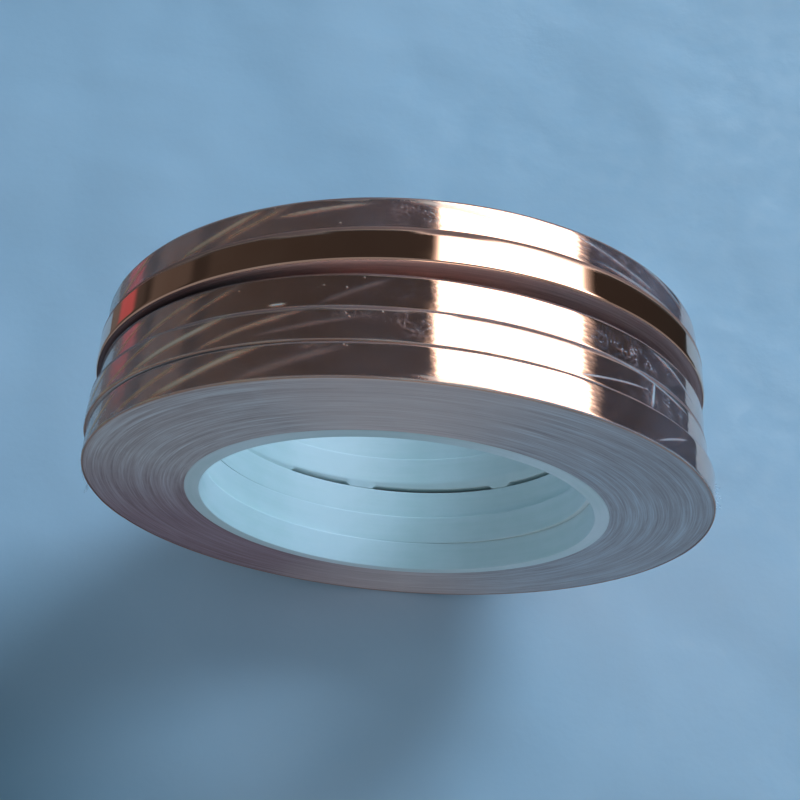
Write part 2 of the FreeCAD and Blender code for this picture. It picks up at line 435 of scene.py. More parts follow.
def copper_foil(name, unevenness, streaks):
    """Bright rolled copper; unevenness and streaks are how far its face waves, in mm."""
    recipe = Recipe(name)
    tarnish = recipe.noise(recipe.place(), 90, 4)
    marks = recipe.noise(recipe.around(0, 300, 5.0), 1.0, 4)
    copper = recipe.ramp(tarnish, [(0.3, (0.86, 0.49, 0.34)), (0.7, (0.95, 0.58, 0.42))])
    # Along its edges the foil gets a painted shade: a dark brown band that stands for the shade in
    # the gaps between rolls.
    edge_shade = recipe.stored("edge_shade")
    recipe.set("Base Color", recipe.mix(edge_shade, copper, (0.32, 0.15, 0.11)))
    recipe.set("Metallic", recipe.spread(edge_shade, 0.0, 1.0, 1.0, 0.0))
    sheen = recipe.spread(marks, 0.3, 0.7, 0.04, 0.09)
    recipe.set("Roughness", recipe.math("ADD", sheen, recipe.math("MULTIPLY", edge_shade, 0.5)))
    recipe.set("Specular IOR Level", 0.2)
    waves = recipe.noise(recipe.place(), 160, 2)
    drawn = recipe.noise(recipe.around(0, 600, 9.0), 1.0, 3)
    recipe.bump(recipe.blend_sum(waves, unevenness, drawn, streaks), 1.0, 1.0)
    return recipe.material


def stretch_film():
    """Clear stretch film: each mesh says how much of a veil and painted sheen it is and where
    creases cloud it.
    """
    recipe = Recipe("stretch_film")
    cloud = recipe.stored("cloud")
    veil_and_sheen = recipe.stored("veil_and_sheen")
    # Creases get painted light: warm on the left, standing for window light through the film, and
    # a cool painted reflection on the right. Film that is only a veil gets a bluish painted sheen,
    # and stress whitens the cloudiest creases.
    side = recipe.rise(recipe.heading()["X"], -0.4, 0.5)
    crease = recipe.mix(side, (1.0, 0.70, 0.46), (0.80, 0.84, 0.88))
    thin_film_sheen = recipe.mix(side, (0.70, 0.76, 0.80), (0.48, 0.72, 0.96))
    haze = recipe.noise(recipe.place(), 130, 4)
    drawn = recipe.noise(recipe.around(0, 700, 14.0), 1.0, 3)
    patches = recipe.spread(recipe.blend_sum(haze, 0.5, drawn, 0.5), 0.38, 0.62, 0.7, 1.4)
    specks = recipe.rise(recipe.noise(recipe.place(), 1500, 2), 0.68, 0.78)
    thin = recipe.math("MULTIPLY", veil_and_sheen, recipe.math("ADD", patches, specks))
    recipe.set("Alpha", recipe.math("ADD", thin, cloud, clamp=True))
    colour = recipe.mix(recipe.rise(cloud, 0.02, 0.2), thin_film_sheen, crease)
    colour = recipe.mix(recipe.rise(cloud, 0.7, 0.88), colour, (0.80, 0.90, 0.92))
    recipe.set("Base Color", colour)
    glints = [(0.05, 0.0), (0.4, 0.22), (0.7, 0.18), (0.88, 0.0)]
    recipe.set("Metallic", recipe.ramp(cloud, glints))
    smooth = recipe.spread(haze, 0.3, 0.7, 0.10, 0.2)
    recipe.set("Roughness", recipe.math("ADD", smooth, recipe.rise(cloud, 0.05, 0.5, 0.3)))
    recipe.set("IOR", 1.5)
    recipe.bump(recipe.noise(recipe.place(), 360, 1), 0.012, 0.6)
    return recipe.material


def liner_paper():
    """Smooth white release paper."""
    recipe = Recipe("release_liner")
    fibres = recipe.noise(recipe.place(), 1600, 4)
    papers = [(0.3, (0.74, 0.72, 0.66)), (0.7, (0.86, 0.85, 0.80))]
    recipe.set("Base Color", recipe.ramp(fibres, papers))
    recipe.set("Roughness", recipe.spread(fibres, 0.3, 0.7, 0.5, 0.65))
    recipe.bump(fibres, 0.02, 0.5)
    return recipe.material


# A painted shadow on the sheet, a soft grey patch: its middle, where it begins to fade and where
# it is gone, in metres, and its tint.
PAINTED_SHADOW_AT = (-0.125, -0.100, -0.062)
PAINTED_SHADOW_FADE = (0.06, 0.11)
PAINTED_SHADOW_TINT = (0.46, 0.55, 0.58)


def floor_sheet():
    """The pale sheet that the row stands on, with a painted shadow that greys it in front of the
    row and to its left.
    """
    recipe = Recipe("pale_sheet")
    broad = recipe.noise(recipe.place(), 9, 3)
    grain = recipe.noise(recipe.place(), 240, 3)
    colour = recipe.ramp(broad, [(0.3, (0.57, 0.69, 0.78)), (0.7, (0.67, 0.77, 0.85))])
    # The painted shadow fades out with the distance from its middle.
    away = recipe.add(
        "ShaderNodeVectorMath", {0: recipe.place(), 1: PAINTED_SHADOW_AT}, operation="DISTANCE"
    ).outputs["Value"]
    patch = recipe.spread(away, *PAINTED_SHADOW_FADE, 1.0, 0.0)
    recipe.set("Base Color", recipe.mix(patch, colour, PAINTED_SHADOW_TINT, "MULTIPLY"))
    recipe.set("Roughness", recipe.spread(grain, 0.3, 0.7, 0.55, 0.75))
    recipe.bump(recipe.math("ADD", broad, recipe.math("MULTIPLY", grain, 0.01)), 16.0, 0.5)
    return recipe.material


# -------------------- cores and windings


# How many segments each kind of ring has, and the angle above which its edges stay crisp.
CORE_SEGMENTS, CORE_CRISP = 512, 40
WINDING_SEGMENTS, WINDING_CRISP = 288, 50
FOIL_SEGMENTS, FOIL_CRISP = 720, 60
FILM_SEGMENTS = 1440

# How far the core's ends stand past the CAD core's, the rounding of its inner and outer rims, and
# the steps along it.
CORE_PROUD = 0.03
CORE_RIM = 0.08
CORE_OUTER_RIM = 0.18
CORE_STEPS = 20

# The lip: how long it is drawn before it is stretched to its real front, how far that front
# stands back from the CAD one, how much wider its bore is, and how long it is at the least.
LIP_DRAWN = 2.0
LIP_SETBACK = 0.30
LIP_FLARE = 0.4
LIP_SHORTEST = 0.02

# Thin flash that reaches from the lip towards the next core: first and last angle, and reach.
LIP_FLASH = ((254, 263, 0.88), (305, 312, 0.88), (20, 233, 0.88))


def make_core(roll, material):
    """The moulded ring with rounded rims; the open roll's has a lip whose front is skewed."""
    half = CORE_WIDTH / 2 + CORE_PROUD
    has_lip = roll["number"] == OPEN_ROLL
    front = half + LIP_DRAWN if has_lip else half
    section = ring_section(
        roll["bore"], roll["core"], half, front, CORE_RIM, CORE_OUTER_RIM, CORE_STEPS
    )
    lip_front = (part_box(f"{roll['name']}_core")[0].y - roll["centre"].y) / MM
    middle = (roll["bore"] + roll["core"]) / 2

    def stretch_lip(angles, radius, along):
        share = np.clip((-along - half) / LIP_DRAWN, 0, 1)
        x = radius * np.cos(angles)
        plane = lip_front / math.cos(roll["yaw"]) - x * math.tan(roll["yaw"])
        reach = np.maximum(-plane - half - LIP_SETBACK, LIP_SHORTEST)
        degrees = np.degrees(angles)
        for first, last, more in LIP_FLASH:
            inside = smooth_step(first - 1, first + 1, degrees)
            inside = inside * (1 - smooth_step(last - 1, last + 1, degrees))
            reach = reach + more * inside
        along = np.where(along < -half, -half - share * reach, along)
        return radius + LIP_FLARE * share * (radius < middle), along, {}

    name = f"{roll['name']}_core_ring"
    mesh = ring_mesh(name, section, CORE_SEGMENTS, stretch_lip if has_lip else None)
    return add_piece(name, mesh, material, CORE_CRISP)


# Groups of turns that stand back from the side of a winding: middle angle and half spread in
# degrees, radius and half width in mm, depth in mm.
STEPPED_TURNS = (
    (330, 50, 57.2, 0.35, 0.16),
    (315, 45, 54.6, 0.22, 0.12),
    (352, 40, 52.4, 0.18, 0.10),
    (215, 40, 56.2, 0.30, 0.16),
    (232, 45, 53.4, 0.25, 0.14),
    (200, 35, 50.6, 0.20, 0.10),
    (265, 60, 58.1, 0.25, 0.12),
)
# The outside radius that they are laid out for, and how far they wander in and out.
STEPPED_FOR_RADIUS = 60
STEP_WANDER = 0.35

# The rings of turns on a side: their number, how far they stand out, how far the two outermost
# do, and the most that any does.
WINDING_RINGS = 64
TURN_OFFSETS = (-0.045, 0.02)
OUTER_TURN_OFFSETS = (-0.40, -0.10)
MOST_PROUD = 0.03


def make_winding(roll, material):
    """The wound tape, whose sides show every turn standing a little in or out."""
    rng = np.random.default_rng(40 + roll["number"])
    inner, outer = roll["core"], roll["winding"]
    half = TAPE_WIDTH / 2
    radii = np.linspace(outer, inner, WINDING_RINGS)
    section = [(radius, half) for radius in radii] + [(radius, -half) for radius in radii[::-1]]
    turn_offsets = {side: rng.uniform(*TURN_OFFSETS, WINDING_RINGS) for side in (-1, 1)}
    for offsets in turn_offsets.values():
        offsets[:2] = OUTER_TURN_OFFSETS

    def shape(angles, radius, along):
        side = np.sign(along)
        depth_in = (outer - radius) / (outer - inner)
        ring = np.clip(np.round(depth_in * (WINDING_RINGS - 1)), 0, None).astype(int)
        offset = np.where(side > 0, turn_offsets[1][ring], turn_offsets[-1][ring])
        drift = 0.02 * np.sin(angles * 2 + radius * 0.9)
        drift = drift + 0.015 * np.sin(angles * 3 - radius * 2.1)
        offset = offset + drift
        for middle, spread, place, width, depth in STEPPED_TURNS:
            away = np.angle(np.exp(1j * (angles - math.radians(middle))))
            reach = np.exp(-((away / math.radians(spread)) ** 2))
            wander = STEP_WANDER * np.sin(angles * 3 + place)
            wander = place + wander + (outer - STEPPED_FOR_RADIUS)
            offset = offset - depth * reach * np.exp(-(((radius - wander) / width) ** 2))
        return radius, along + side * np.minimum(offset, MOST_PROUD), {}

    name = f"{roll['name']}_windings"
    mesh = ring_mesh(name, section, WINDING_SEGMENTS, shape)
    return add_piece(name, mesh, material, WINDING_CRISP)


# The foil's bent edges: their width and drop. Then the sheet's thickness and the steps across it.
FOIL_EDGE_WIDTH = 0.56
FOIL_EDGE_DROP = 0.27
FOIL_SHEET = 0.04
FOIL_STEPS = 12

# Slow waves in the foil's face: how high on a wrapped and on the open roll, and how long.
WRAPPED_CROWN, OPEN_CROWN = 0.006, 0.002
CROWN_WAVELENGTH = 26

# How far in from its far edge each roll's foil carries a painted shade, how that wavers and fades,
# and how strong the painted shade on the near edge is under film.
EDGE_SHADE_WIDTH = {1: 0.38, 2: 0.68, 3: 0.50, 4: 1.0, 5: 0.50}
EDGE_SHADE_WAVER, EDGE_SHADE_WAVELENGTH = 0.05, 16
EDGE_SHADE_FADE = 0.12
NEAR_EDGE_SHADE = 0.55


def make_outer_turn(roll, material, crown):
    """The outermost turn of foil, a thin band whose edges bend down over the turns below."""
    rng = np.random.default_rng(60 + roll["number"])
    inner = roll["winding"]
    half = TAPE_WIDTH / 2
    bend = []
    for turn in np.radians(np.linspace(0, 90, 9)):
        drop = FOIL_EDGE_DROP * (1 - math.cos(turn))
        bend.append((roll["foil"] - drop, half - FOIL_EDGE_WIDTH * (1 - math.sin(turn))))
    lowest = roll["foil"] - FOIL_EDGE_DROP - FOIL_SHEET
    under = [(lowest, half - 0.03), (inner, half - FOIL_EDGE_WIDTH - 0.02)]
    section = bend + under
    section += [(radius, -along) for radius, along in reversed(bend + under)]
    section += straight_points(section[-1], bend[0], FOIL_STEPS)

    def shape(angles, radius, along):
        wave = crown * ripples(rng, angles, along, roll["foil"], CROWN_WAVELENGTH)
        # A band of painted shade along the far edge; wrapped rolls get painted shade along the
        # near edge too.
        waver = EDGE_SHADE_WAVER * ripples(rng, angles, 0.0, roll["foil"], EDGE_SHADE_WAVELENGTH)
        width = EDGE_SHADE_WIDTH[roll["number"]] + waver
        edge_shade = smooth_step(half - width, half - width + EDGE_SHADE_FADE, along)
        if roll["number"] in WRAPPED_ROLLS:
            begins, full = half - 0.7 * FOIL_EDGE_WIDTH, half - 0.4 * FOIL_EDGE_WIDTH
            edge_shade = edge_shade + NEAR_EDGE_SHADE * smooth_step(begins, full, -along)
        return radius + wave * (radius > inner + 0.05), along, {"edge_shade": edge_shade}

    name = f"{roll['name']}_copper_band"
    mesh = ring_mesh(name, section, FOIL_SEGMENTS, shape)
    return add_piece(name, mesh, material, FOIL_CRISP)


# -------------------- stretch film

# Creases in each roll's film: angle and place across the width where one starts and ends, then
# its height and half width in mm, and how cloudy it is.
CREASES = {
    1: (
        (133, -2.9, 111, 2.9, 0.12, 0.50, 0.50),
        (117, -2.9, 98, 2.4, 0.08, 0.55, 0.09),
        (143, -2.9, 124, 2.9, 0.08, 0.45, 0.20),
        (49, -2.6, 38, 1.5, 0.08, 0.14, 0.40),
        (157, -2.9, 143, 2.0, 0.12, 0.50, 0.25),
        (90, -2.0, 76, -2.9, 0.05, 0.40, 0.30),
        (88, 2.9, 70, 1.6, 0.05, 0.30, 0.25),
    ),
    2: (
        (138, -2.9, 116, 2.9, 0.14, 0.46, 0.52),
        (124, -2.9, 104, 2.6, 0.08, 0.36, 0.26),
        (113, -1.8, 94, 1.6, 0.06, 0.34, 0.08),
        (148, -2.9, 130, 2.9, 0.08, 0.40, 0.20),
        (47.4, -2.9, 46.6, 2.7, 0.25, 0.26, 0.95),
        (66, -2.6, 47, 0.4, 0.06, 0.12, 0.45),
        (158, -2.6, 147, 2.9, 0.12, 0.50, 0.30),
        (60, 2.9, 32, 1.0, 0.06, 0.16, 0.40),
    ),
    3: (
        (141, -2.9, 121, 2.9, 0.10, 0.40, 0.26),
        (130, -2.9, 116, 2.6, 0.08, 0.30, 0.22),
        (111.4, -2.1, 108.2, -2.0, 0.20, 0.22, 0.95),
        (150, -2.9, 136, 2.5, 0.10, 0.40, 0.22),
        (104, -2.8, 92, 2.4, 0.04, 0.40, 0.08),
        (48, 2.4, 30, -0.6, 0.08, 0.22, 0.35),
    ),
    5: (
        (131, -2.9, 113, 2.6, 0.12, 0.48, 0.42),
        (112, 0.4, 95, 1.6, 0.08, 0.34, 0.32),
        (123, -2.6, 108, 2.8, 0.06, 0.60, 0.18),
        (92, 2.4, 74, 0.8, 0.06, 0.50, 0.35),
        (66, 2.4, 42, -1.6, 0.08, 0.40, 0.18),
        (60, -1.4, 34, -2.6, 0.08, 0.30, 0.30),
        (50, 2.8, 30, 1.0, 0.08, 0.30, 0.25),
        (150, -2.0, 138, 2.6, 0.12, 0.50, 0.26),
    ),
}

# Specks of dust under the film: angle and place across the width, in mm.
DUST = {
    1: ((99.4, 2.4), (99.0, 2.2), (74, 0.6)),
    2: ((93.4, 1.8), (98.6, 1.4), (98.2, 1.0), (63, 2.2)),
    3: ((97.0, 2.2), (103.0, 0.9), (99.4, 0.4), (117, 1.2)),
    5: ((101.0, -1.8), (108.5, 2.6), (120, 0.4)),
}

# Crinkled patches: middle angle and half spread in degrees, middle and half spread across the
# width in mm, and how strong.
CRINKLES = {
    1: ((84, 5, -2.0, 1.2, 0.7), (104, 2, 2.4, 0.6, 0.6), (158, 7, 0.0, 3.0, 0.4)),
    2: (
        (86.5, 5, 0.2, 2.2, 1.1),
        (44, 8, -0.2, 2.0, 1.0),
        (98, 4, 1.6, 1.2, 0.5),
        (160, 7, 0.0, 3.0, 0.4),
    ),
    3: ((50, 11, -0.2, 1.9, 1.4), (92, 6, 0.0, 1.6, 0.25), (150, 9, 0.0, 3.0, 0.4)),
    5: (
        (88, 5, 0.4, 2.4, 1.0),
        (50, 14, 0.2, 2.6, 0.6),
        (113, 1.6, 2.8, 0.5, 2.6),
        (118, 6, 1.8, 1.2, 0.4),
        (155, 9, 0.0, 3.0, 0.4),
    ),
}

# How much of a veil each roll's film is, and how much painted sheen is added towards its left and
# right:
# the share, and the cosines of the angles where it begins and is full.
VEILS = {1: 0.045, 2: 0.035, 3: 0.022, 5: 0.07}
PAINTED_SIDE_SHEENS = ((0.30, -0.40, -0.96), (0.055, 0.55, 0.85))

# The film: half its width, how far over the foil it lies, its thickness, how far its edges bend
# down, and the places across its underside.
FILM_HALF_WIDTH = 2.94
FILM_CLEARANCE = 0.02
FILM_THICKNESS = 0.02
FILM_EDGE_DROP = 0.22
FILM_UNDERSIDE = (2.7, 1.35, 0.0, -1.35, -2.7)

# The film's curled edges: each side's share of the curl, the height, and how cloudy a full one is.
CURL_SHARES = ((-1, 1.0), (1, 0.35))
CURL_HEIGHT = 0.08
CURL_CLOUD = 0.45

# Creases wider than the first have thin lines beside them: how many, how far off at each end in
# degrees, and their share of the crease's height, width and cloudiness.
WIDE_CREASE = 0.28
SIDE_LINES = 2
SIDE_LINE_OFF = 1.3
SIDE_LINE_SHARES = (0.5, 0.28, 0.9)

# How the tables' heights and cloudiness are scaled, and the cloudiest that a crease or a crinkle
# gets. Crinkles are broken up and folded by ripples of these wavelengths.
CREASE_HEIGHT = 0.3
CREASE_CLOUD, MOST_CREASE_CLOUD = 1.5, 0.95
CRINKLE_HEIGHT = 0.02
CRINKLE_CLOUD, MOST_CRINKLE_CLOUD = 0.5, 0.66
CRINKLE_WAVELENGTHS = {"patches": 4.0, "broad": 1.5, "fine": 0.8}


def crease_lines(rng, crease):
    """A crease: one soft fold, and two thin lines beside it if it is wide."""
    from_angle, from_along, to_angle, to_along, *looks = crease
    yield crease
    half = looks[1]
    if half > WIDE_CREASE:
        for _ in range(SIDE_LINES):
            start, end = rng.uniform(-SIDE_LINE_OFF, SIDE_LINE_OFF, 2)
            thinner = [value * share for value, share in zip(looks, SIDE_LINE_SHARES)]
            yield (from_angle + start, from_along, to_angle + end, to_along, *thinner)


def folds_of(rng, angles, along, radius, wavelength):
    """Sharp little folds between 0 and 1, from ripples of one wavelength."""
    return np.clip(1 - np.abs(ripples(rng, angles, along, radius, wavelength, 18)), 0, 1)


def crease_relief(roll, rng, angles, along):
    """Height in mm and cloudiness of the film over a rim."""
    radius = roll["foil"]
    height = 0.0
    cloud = 0.0
    lines = [line for crease in CREASES[roll["number"]] for line in crease_lines(rng, crease)]
    for at, across in DUST[roll["number"]]:
        lines.append((at, across, at - 0.3, across + 0.2, 0.03, 0.12, 0.5))
    for from_angle, from_along, to_angle, to_along, tall, half, white in lines:
        middle = math.radians((from_angle + to_angle) / 2)
        arc = radius * np.angle(np.exp(1j * (angles - middle)))
        reach = radius * math.radians(to_angle - from_angle)
        climb = to_along - from_along
        bow = 0.12 * np.sin(arc * rng.uniform(0.15, 0.35) + rng.uniform(0, math.tau))
        down = arc + reach / 2
        over = along - from_along + bow
        share = np.clip((down * reach + over * climb) / (reach**2 + climb**2), 0, 1)
        away = np.hypot(down - share * reach, over - share * climb)
        taper = np.clip(np.sin(np.pi * np.clip(share, 0.02, 0.98)) * 1.4, 0, 1)
        ridge = np.exp(-((away / (half * (0.35 + 0.65 * taper))) ** 2)) * taper
        height = height + CREASE_HEIGHT * tall * ridge
        cloud = np.maximum(cloud, min(CREASE_CLOUD * white, MOST_CREASE_CLOUD) * ridge)
    waves = CRINKLE_WAVELENGTHS
    for middle, spread, across, half, strong in CRINKLES[roll["number"]]:
        away = np.degrees(np.angle(np.exp(1j * (angles - math.radians(middle)))))
        patch = np.exp(-((away / spread) ** 2) - ((along - across) / half) ** 2)
        broken = ripples(rng, angles, along, radius, waves["patches"])
        patch = patch * smooth_step(-1.4, 0.8, broken)
        broad = folds_of(rng, angles, along, radius, waves["broad"])
        fine = folds_of(rng, angles, along, radius, waves["fine"])
        folds = broad * (0.3 + 0.7 * fine)
        height = height + CRINKLE_HEIGHT * strong * patch * folds
        white = np.clip(CRINKLE_CLOUD * strong * patch * folds, 0, MOST_CRINKLE_CLOUD)
        cloud = np.maximum(cloud, white)
    return height, cloud


def make_film(roll, material):
    """The film around a wrapped roll: thin, creased, and curled at its edges, most at the near."""
    rng = np.random.default_rng(80 + roll["number"])
    outside = roll["foil"] + FILM_CLEARANCE + FILM_THICKNESS
    section = [(outside, place) for place in np.linspace(-FILM_HALF_WIDTH, FILM_HALF_WIDTH, 41)]
    section += [(roll["foil"] + 0.005, place) for place in FILM_UNDERSIDE]

    def shape(angles, radius, along):
        top = radius > outside - FILM_THICKNESS / 2
        height, cloud = crease_relief(roll, rng, angles, along)
        slack = 0.02 * np.clip(ripples(rng, angles, along, roll["foil"], 9) + 1, 0, None)
        curls = 0.0
        for side, share in CURL_SHARES:
            curl = np.clip(ripples(rng, angles, 0.0, roll["foil"], 14) * 0.5 + 0.5, 0, 1)
            curls = curls + share * curl * smooth_step(2.5, FILM_HALF_WIDTH, side * along)
        fold = smooth_step(2.6, FILM_HALF_WIDTH + 0.06, np.abs(along))
        height = height + slack + CURL_HEIGHT * curls - FILM_EDGE_DROP * fold
        cloud = np.clip(cloud + CURL_CLOUD * curls, 0, 1)
        sideways = np.cos(angles) * np.ones_like(radius)
        veil_and_sheen = VEILS[roll["number"]]
        # Towards its left and right the film gets a painted sheen on top of its veil.
        for more, begins, full in PAINTED_SIDE_SHEENS:
            veil_and_sheen = veil_and_sheen + more * smooth_step(begins, full, sideways)
        return radius + height * top, along, {"cloud": cloud * top, "veil_and_sheen": veil_and_sheen * top}

    name = f"{roll['name']}_film"
    return add_piece(name, ring_mesh(name, section, FILM_SEGMENTS, shape), material)


# -------------------- loose ends

# How each loose film end curls off its roll: radius in mm, sweep in degrees, and the way round
# that it runs, 1 for rising angles.
FILM_END_CURLS = {
    1: (36.0, 17.0, 1),
    2: (7.0, 70.0, -1),
    3: (20.0, 25.0, 1),
    5: (16.0, 30.0, 1),
}
# A film end's root on the roll, and how far under the film that starts; then its own sizes.
FILM_ROOT = 5.0
FILM_ROOT_DEPTH = 0.13
FILM_END_THICKNESS = 0.03
FILM_END_HALF_WIDTH = 2.85
FILM_END_CRUMPLE = 0.7
FILM_END_VEIL = 0.06
FILM_END_STEPS = 70
FILM_END_ACROSS = 30


def hinge_on_roll(roll, joint):
    """The hinge's angle in radians and radius in mm, in the roll's own frame."""
    offset = Vector(JOINTS[joint]["pos_m"]) - roll["centre"]
    across = offset.x * math.cos(roll["yaw"]) + offset.y * math.sin(roll["yaw"])
    return math.atan2(offset.z, across), math.hypot(across, offset.z) / MM


def outward_from(turn):
    """Unit (x, z) vectors at the given angles in radians."""
    return np.stack([np.cos(turn), np.sin(turn)], axis=-1)


def strip_mesh(name, middle, outward, across, thickness, stored):
    """A thin strip along a curve in the roll's X-Z plane.

    middle and outward are (rows, columns, 2) arrays and across is (rows, columns), in mm.
    """
    layers = []
    for side in (1, -1):
        plane = middle + outward * side * thickness / 2
        layer = np.stack([plane[..., 0], across, plane[..., 1]], axis=-1)
        layers.append(layer if side > 0 else layer[:, ::-1])
    mesh = grid_mesh(name, np.concatenate(layers, axis=1) * MM, False, True)
    for key, values in stored.items():
        store(mesh, key, np.concatenate([values, values[:, ::-1]], axis=1))
    return mesh


def bend_off_roll(piece, roll, joint, way, slot, node):
    """Puts a strip in its roll's frame, bakes that into its mesh and hides the CAD node it stands
    for.

    way is the way round that the strip runs, 1 for rising angles. It is not used.
    """
    stand_on_roll(piece, roll)
    hinge = Vector(JOINTS[joint]["pos_m"])
    angle, _ = hinge_on_roll(roll, joint)
    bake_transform(piece)
    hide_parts(node)


def make_film_end(roll, material):
    """A loose film end: it hugs the rim up to its hinge, then curls off, crinkled and ragged."""
    number = roll["number"]
    rng = np.random.default_rng(100 + number)
    joint = f"{roll['name']}_film_end_peel"
    angle, hinge_radius = hinge_on_roll(roll, joint)
    curl, sweep, way = FILM_END_CURLS[number]
    length = curl * math.radians(sweep)
    sides = np.linspace(-1, 1, FILM_END_ACROSS)[None, :]
    ragged = 0.05 * np.sin(9 * sides + number) + 0.05 * np.sin(23 * sides + 2 * number)
    share = np.linspace(0, 1, FILM_END_STEPS)[:, None]
    travel = share * (length * (0.93 + ragged) + FILM_ROOT) - FILM_ROOT

    # Up to the hinge the strip follows the rim; past it, a circle that touches the rim there.
    rim_angle = angle + way * travel / hinge_radius
    rise = smooth_step(-FILM_ROOT, 0, travel)
    rim_radius = hinge_radius - FILM_ROOT_DEPTH * (1 - rise)
    bend = angle - way * travel / curl
    loose = travel > 0
    outward = outward_from(np.where(loose, bend, rim_angle))
    rim = rim_radius[..., None] * outward_from(rim_angle)
    centre = (hinge_radius + curl) * outward_from(angle)
    curled = centre - curl * outward_from(bend)
    middle = np.where(loose[..., None], curled, rim)

    free = smooth_step(0.0, length * 0.6, travel)
    folds = 0.0
    for _ in range(10):
        lengthwise = rng.uniform(0.3, 1.6)
        crosswise = rng.uniform(-2.4, 2.4)
        phase = rng.uniform(0, 6)
        folds = folds + np.sin(travel * lengthwise + 3 * sides * crosswise + phase) / 3
    ridges = np.clip(1 - np.abs(folds), 0, 1) ** 3
    crumple = free * (0.28 * folds + 0.12 * ridges)
    middle = middle + outward * crumple[..., None] * FILM_END_CRUMPLE
    edge = FILM_END_HALF_WIDTH + 0.12 * np.sin(travel * 1.1 + number) + 0.08 * np.sin(travel * 3.1)
    across = sides * edge
    torn_edge = share > 0.975
    cloud = np.clip(0.01 + 0.07 * ridges * (0.3 + 0.7 * free) + 0.05 * torn_edge, 0, 1)
    stored = {"cloud": cloud, "veil_and_sheen": np.full(cloud.shape, FILM_END_VEIL)}

    name = f"{roll['name']}_film_flap"
    mesh = strip_mesh(name, middle, outward, across, FILM_END_THICKNESS, stored)
    if way < 0:
        mesh.flip_normals()
    piece = add_piece(name, mesh, material)
    node = f"{roll['name']}_film_end"
    bend_off_roll(piece, roll, joint, way, "stretch_film", node)


# The two layers of the open roll's tape end: CAD node, piece, slot, height over the roll and
# thickness in mm, and how far round it reaches in degrees.
TAPE_END_LAYERS = (
    ("roll_4_tape_end_liner", "roll_4_liner_end", "release_liner", 0.06, 0.05, 17.0),
    ("roll_4_tape_end_foil", "roll_4_foil_end", "copper_foil", 0.125, 0.05, 15.0),
)
# Their root under the outermost turn, the way round that they run, and how their tips lift.
TAPE_ROOT = 4.0
TAPE_END_WAY = -1
TAPE_END_CRISP = 40
TIP_LIFT = 0.25
TIP_LENGTH = 5


def make_tape_end(roll, materials):
    """The open roll's loose end: foil on its paper liner, lying on the roll, its tip lifting."""
    joint = "roll_4_tape_end_peel"
    angle, _ = hinge_on_roll(roll, joint)
    sides = np.linspace(-1, 1, 13)[None, :]
    share = np.linspace(0, 1, 60)[:, None]
    for node, name, slot, height, thickness, sweep in TAPE_END_LAYERS:
        length = roll["foil"] * math.radians(sweep)
        slant = 0.25 * sides
        travel = share * (length - 0.2 + slant + TAPE_ROOT) - TAPE_ROOT
        rise = smooth_step(-TAPE_ROOT, -0.5, travel)
        tip = TIP_LIFT * smooth_step(length - TIP_LENGTH, length, travel)
        ripple = 0.01 * np.sin(travel * 2.3 + sides * 2)
        radius = roll["foil"] - thickness + (height + thickness) * rise + tip + ripple * rise
        outward = outward_from(angle + TAPE_END_WAY * travel / roll["foil"])
        across = sides * (TAPE_WIDTH / 2 - 0.02) * np.ones_like(travel)
        mesh = strip_mesh(name, outward * radius[..., None], outward, across, thickness, {})
        mesh.flip_normals()
        piece = add_piece(name, mesh, materials[slot], TAPE_END_CRISP)
        bend_off_roll(piece, roll, joint, TAPE_END_WAY, slot, node)


# -------------------- the stage


# The sheet in metres: how far its near part and the whole reach, where its middle is, and how
# many waves it has and how high.
NEAR_SHEET_REACH = 0.168
SHEET_REACH = 1.6
SHEET_CENTRE_X = 0.022
SHEET_WAVES = 9
SHEET_WAVE_HEIGHT = 0.0016


def make_floor(material):
    """A softly waved sheet, in a near part that shiny faces mirror and a far part they don't."""
    rng = np.random.default_rng(7)
    waves = []
    for _ in range(SHEET_WAVES):
        rate = rng.uniform(14, 42)
        heading = rng.uniform(0, math.tau)
        phase = rng.uniform(0, math.tau)
        waves.append((rate, heading, phase, rng.uniform(0.4, 1)))
    turns = np.linspace(0, math.tau, 97)[:-1, None]
    reaches = {
        "near_sheet": np.linspace(0.0001, NEAR_SHEET_REACH, 60),
        "far_sheet": np.linspace(NEAR_SHEET_REACH, SHEET_REACH, 60),
    }
    centre = (cad_box[0] + cad_box[1]) / 2
    for name, reach in reaches.items():
        x = SHEET_CENTRE_X + reach * np.cos(turns)
        y = centre.y + reach * np.sin(turns)
        z = 0.0
        for rate, heading, phase, size in waves:
            z = z + size * np.sin(rate * (x * math.cos(heading) + y * math.sin(heading)) + phase)
        # Under the row the sheet is flat.
        waved = smooth_step(0.05, 0.13, np.hypot(x - centre.x, y - centre.y))
        z = FLOOR_LEVEL - SHEET_WAVE_HEIGHT * waved * (1 + z / 3)
        mesh = grid_mesh(name, np.stack([x, y, z], axis=-1), True, False)
        mesh.flip_normals()
        sheet = add_piece(name, mesh, material)
        sheet.visible_glossy = name == "near_sheet"


# The room that shiny faces mirror: its tone by direction around the row's axis, in degrees from
# straight up, + towards +X. A tone of 1 is the window.
ROOM_TONES = (
    (-180, 0.06), (-132, 0.12), (-115, 0.06), (-112, 0.06),
    (-108, 0.03), (-104, 0.095), (-86, 0.080), (-83, 0.034),
    (-78, 0.034), (-75, 0.054), (-50, 0.044), (-20, 0.036),
    (7.5, 0.038), (9.0, 0.55), (11, 1.0), (64.5, 1.0),
    (67.5, 0.45), (71.5, 0.035), (130, 0.024), (180, 0.03),
)
WINDOW_BRIGHTNESS = 4.0

# A red thing in the room: its colour, the headings, in degrees as above, between which it begins
# and ends softly, and how far back it is.
RED = (0.37, 0.10, 0.12)
RED_HEADINGS = ((-131, -127), (-115, -119))
RED_BACK = (0.36, 0.45)

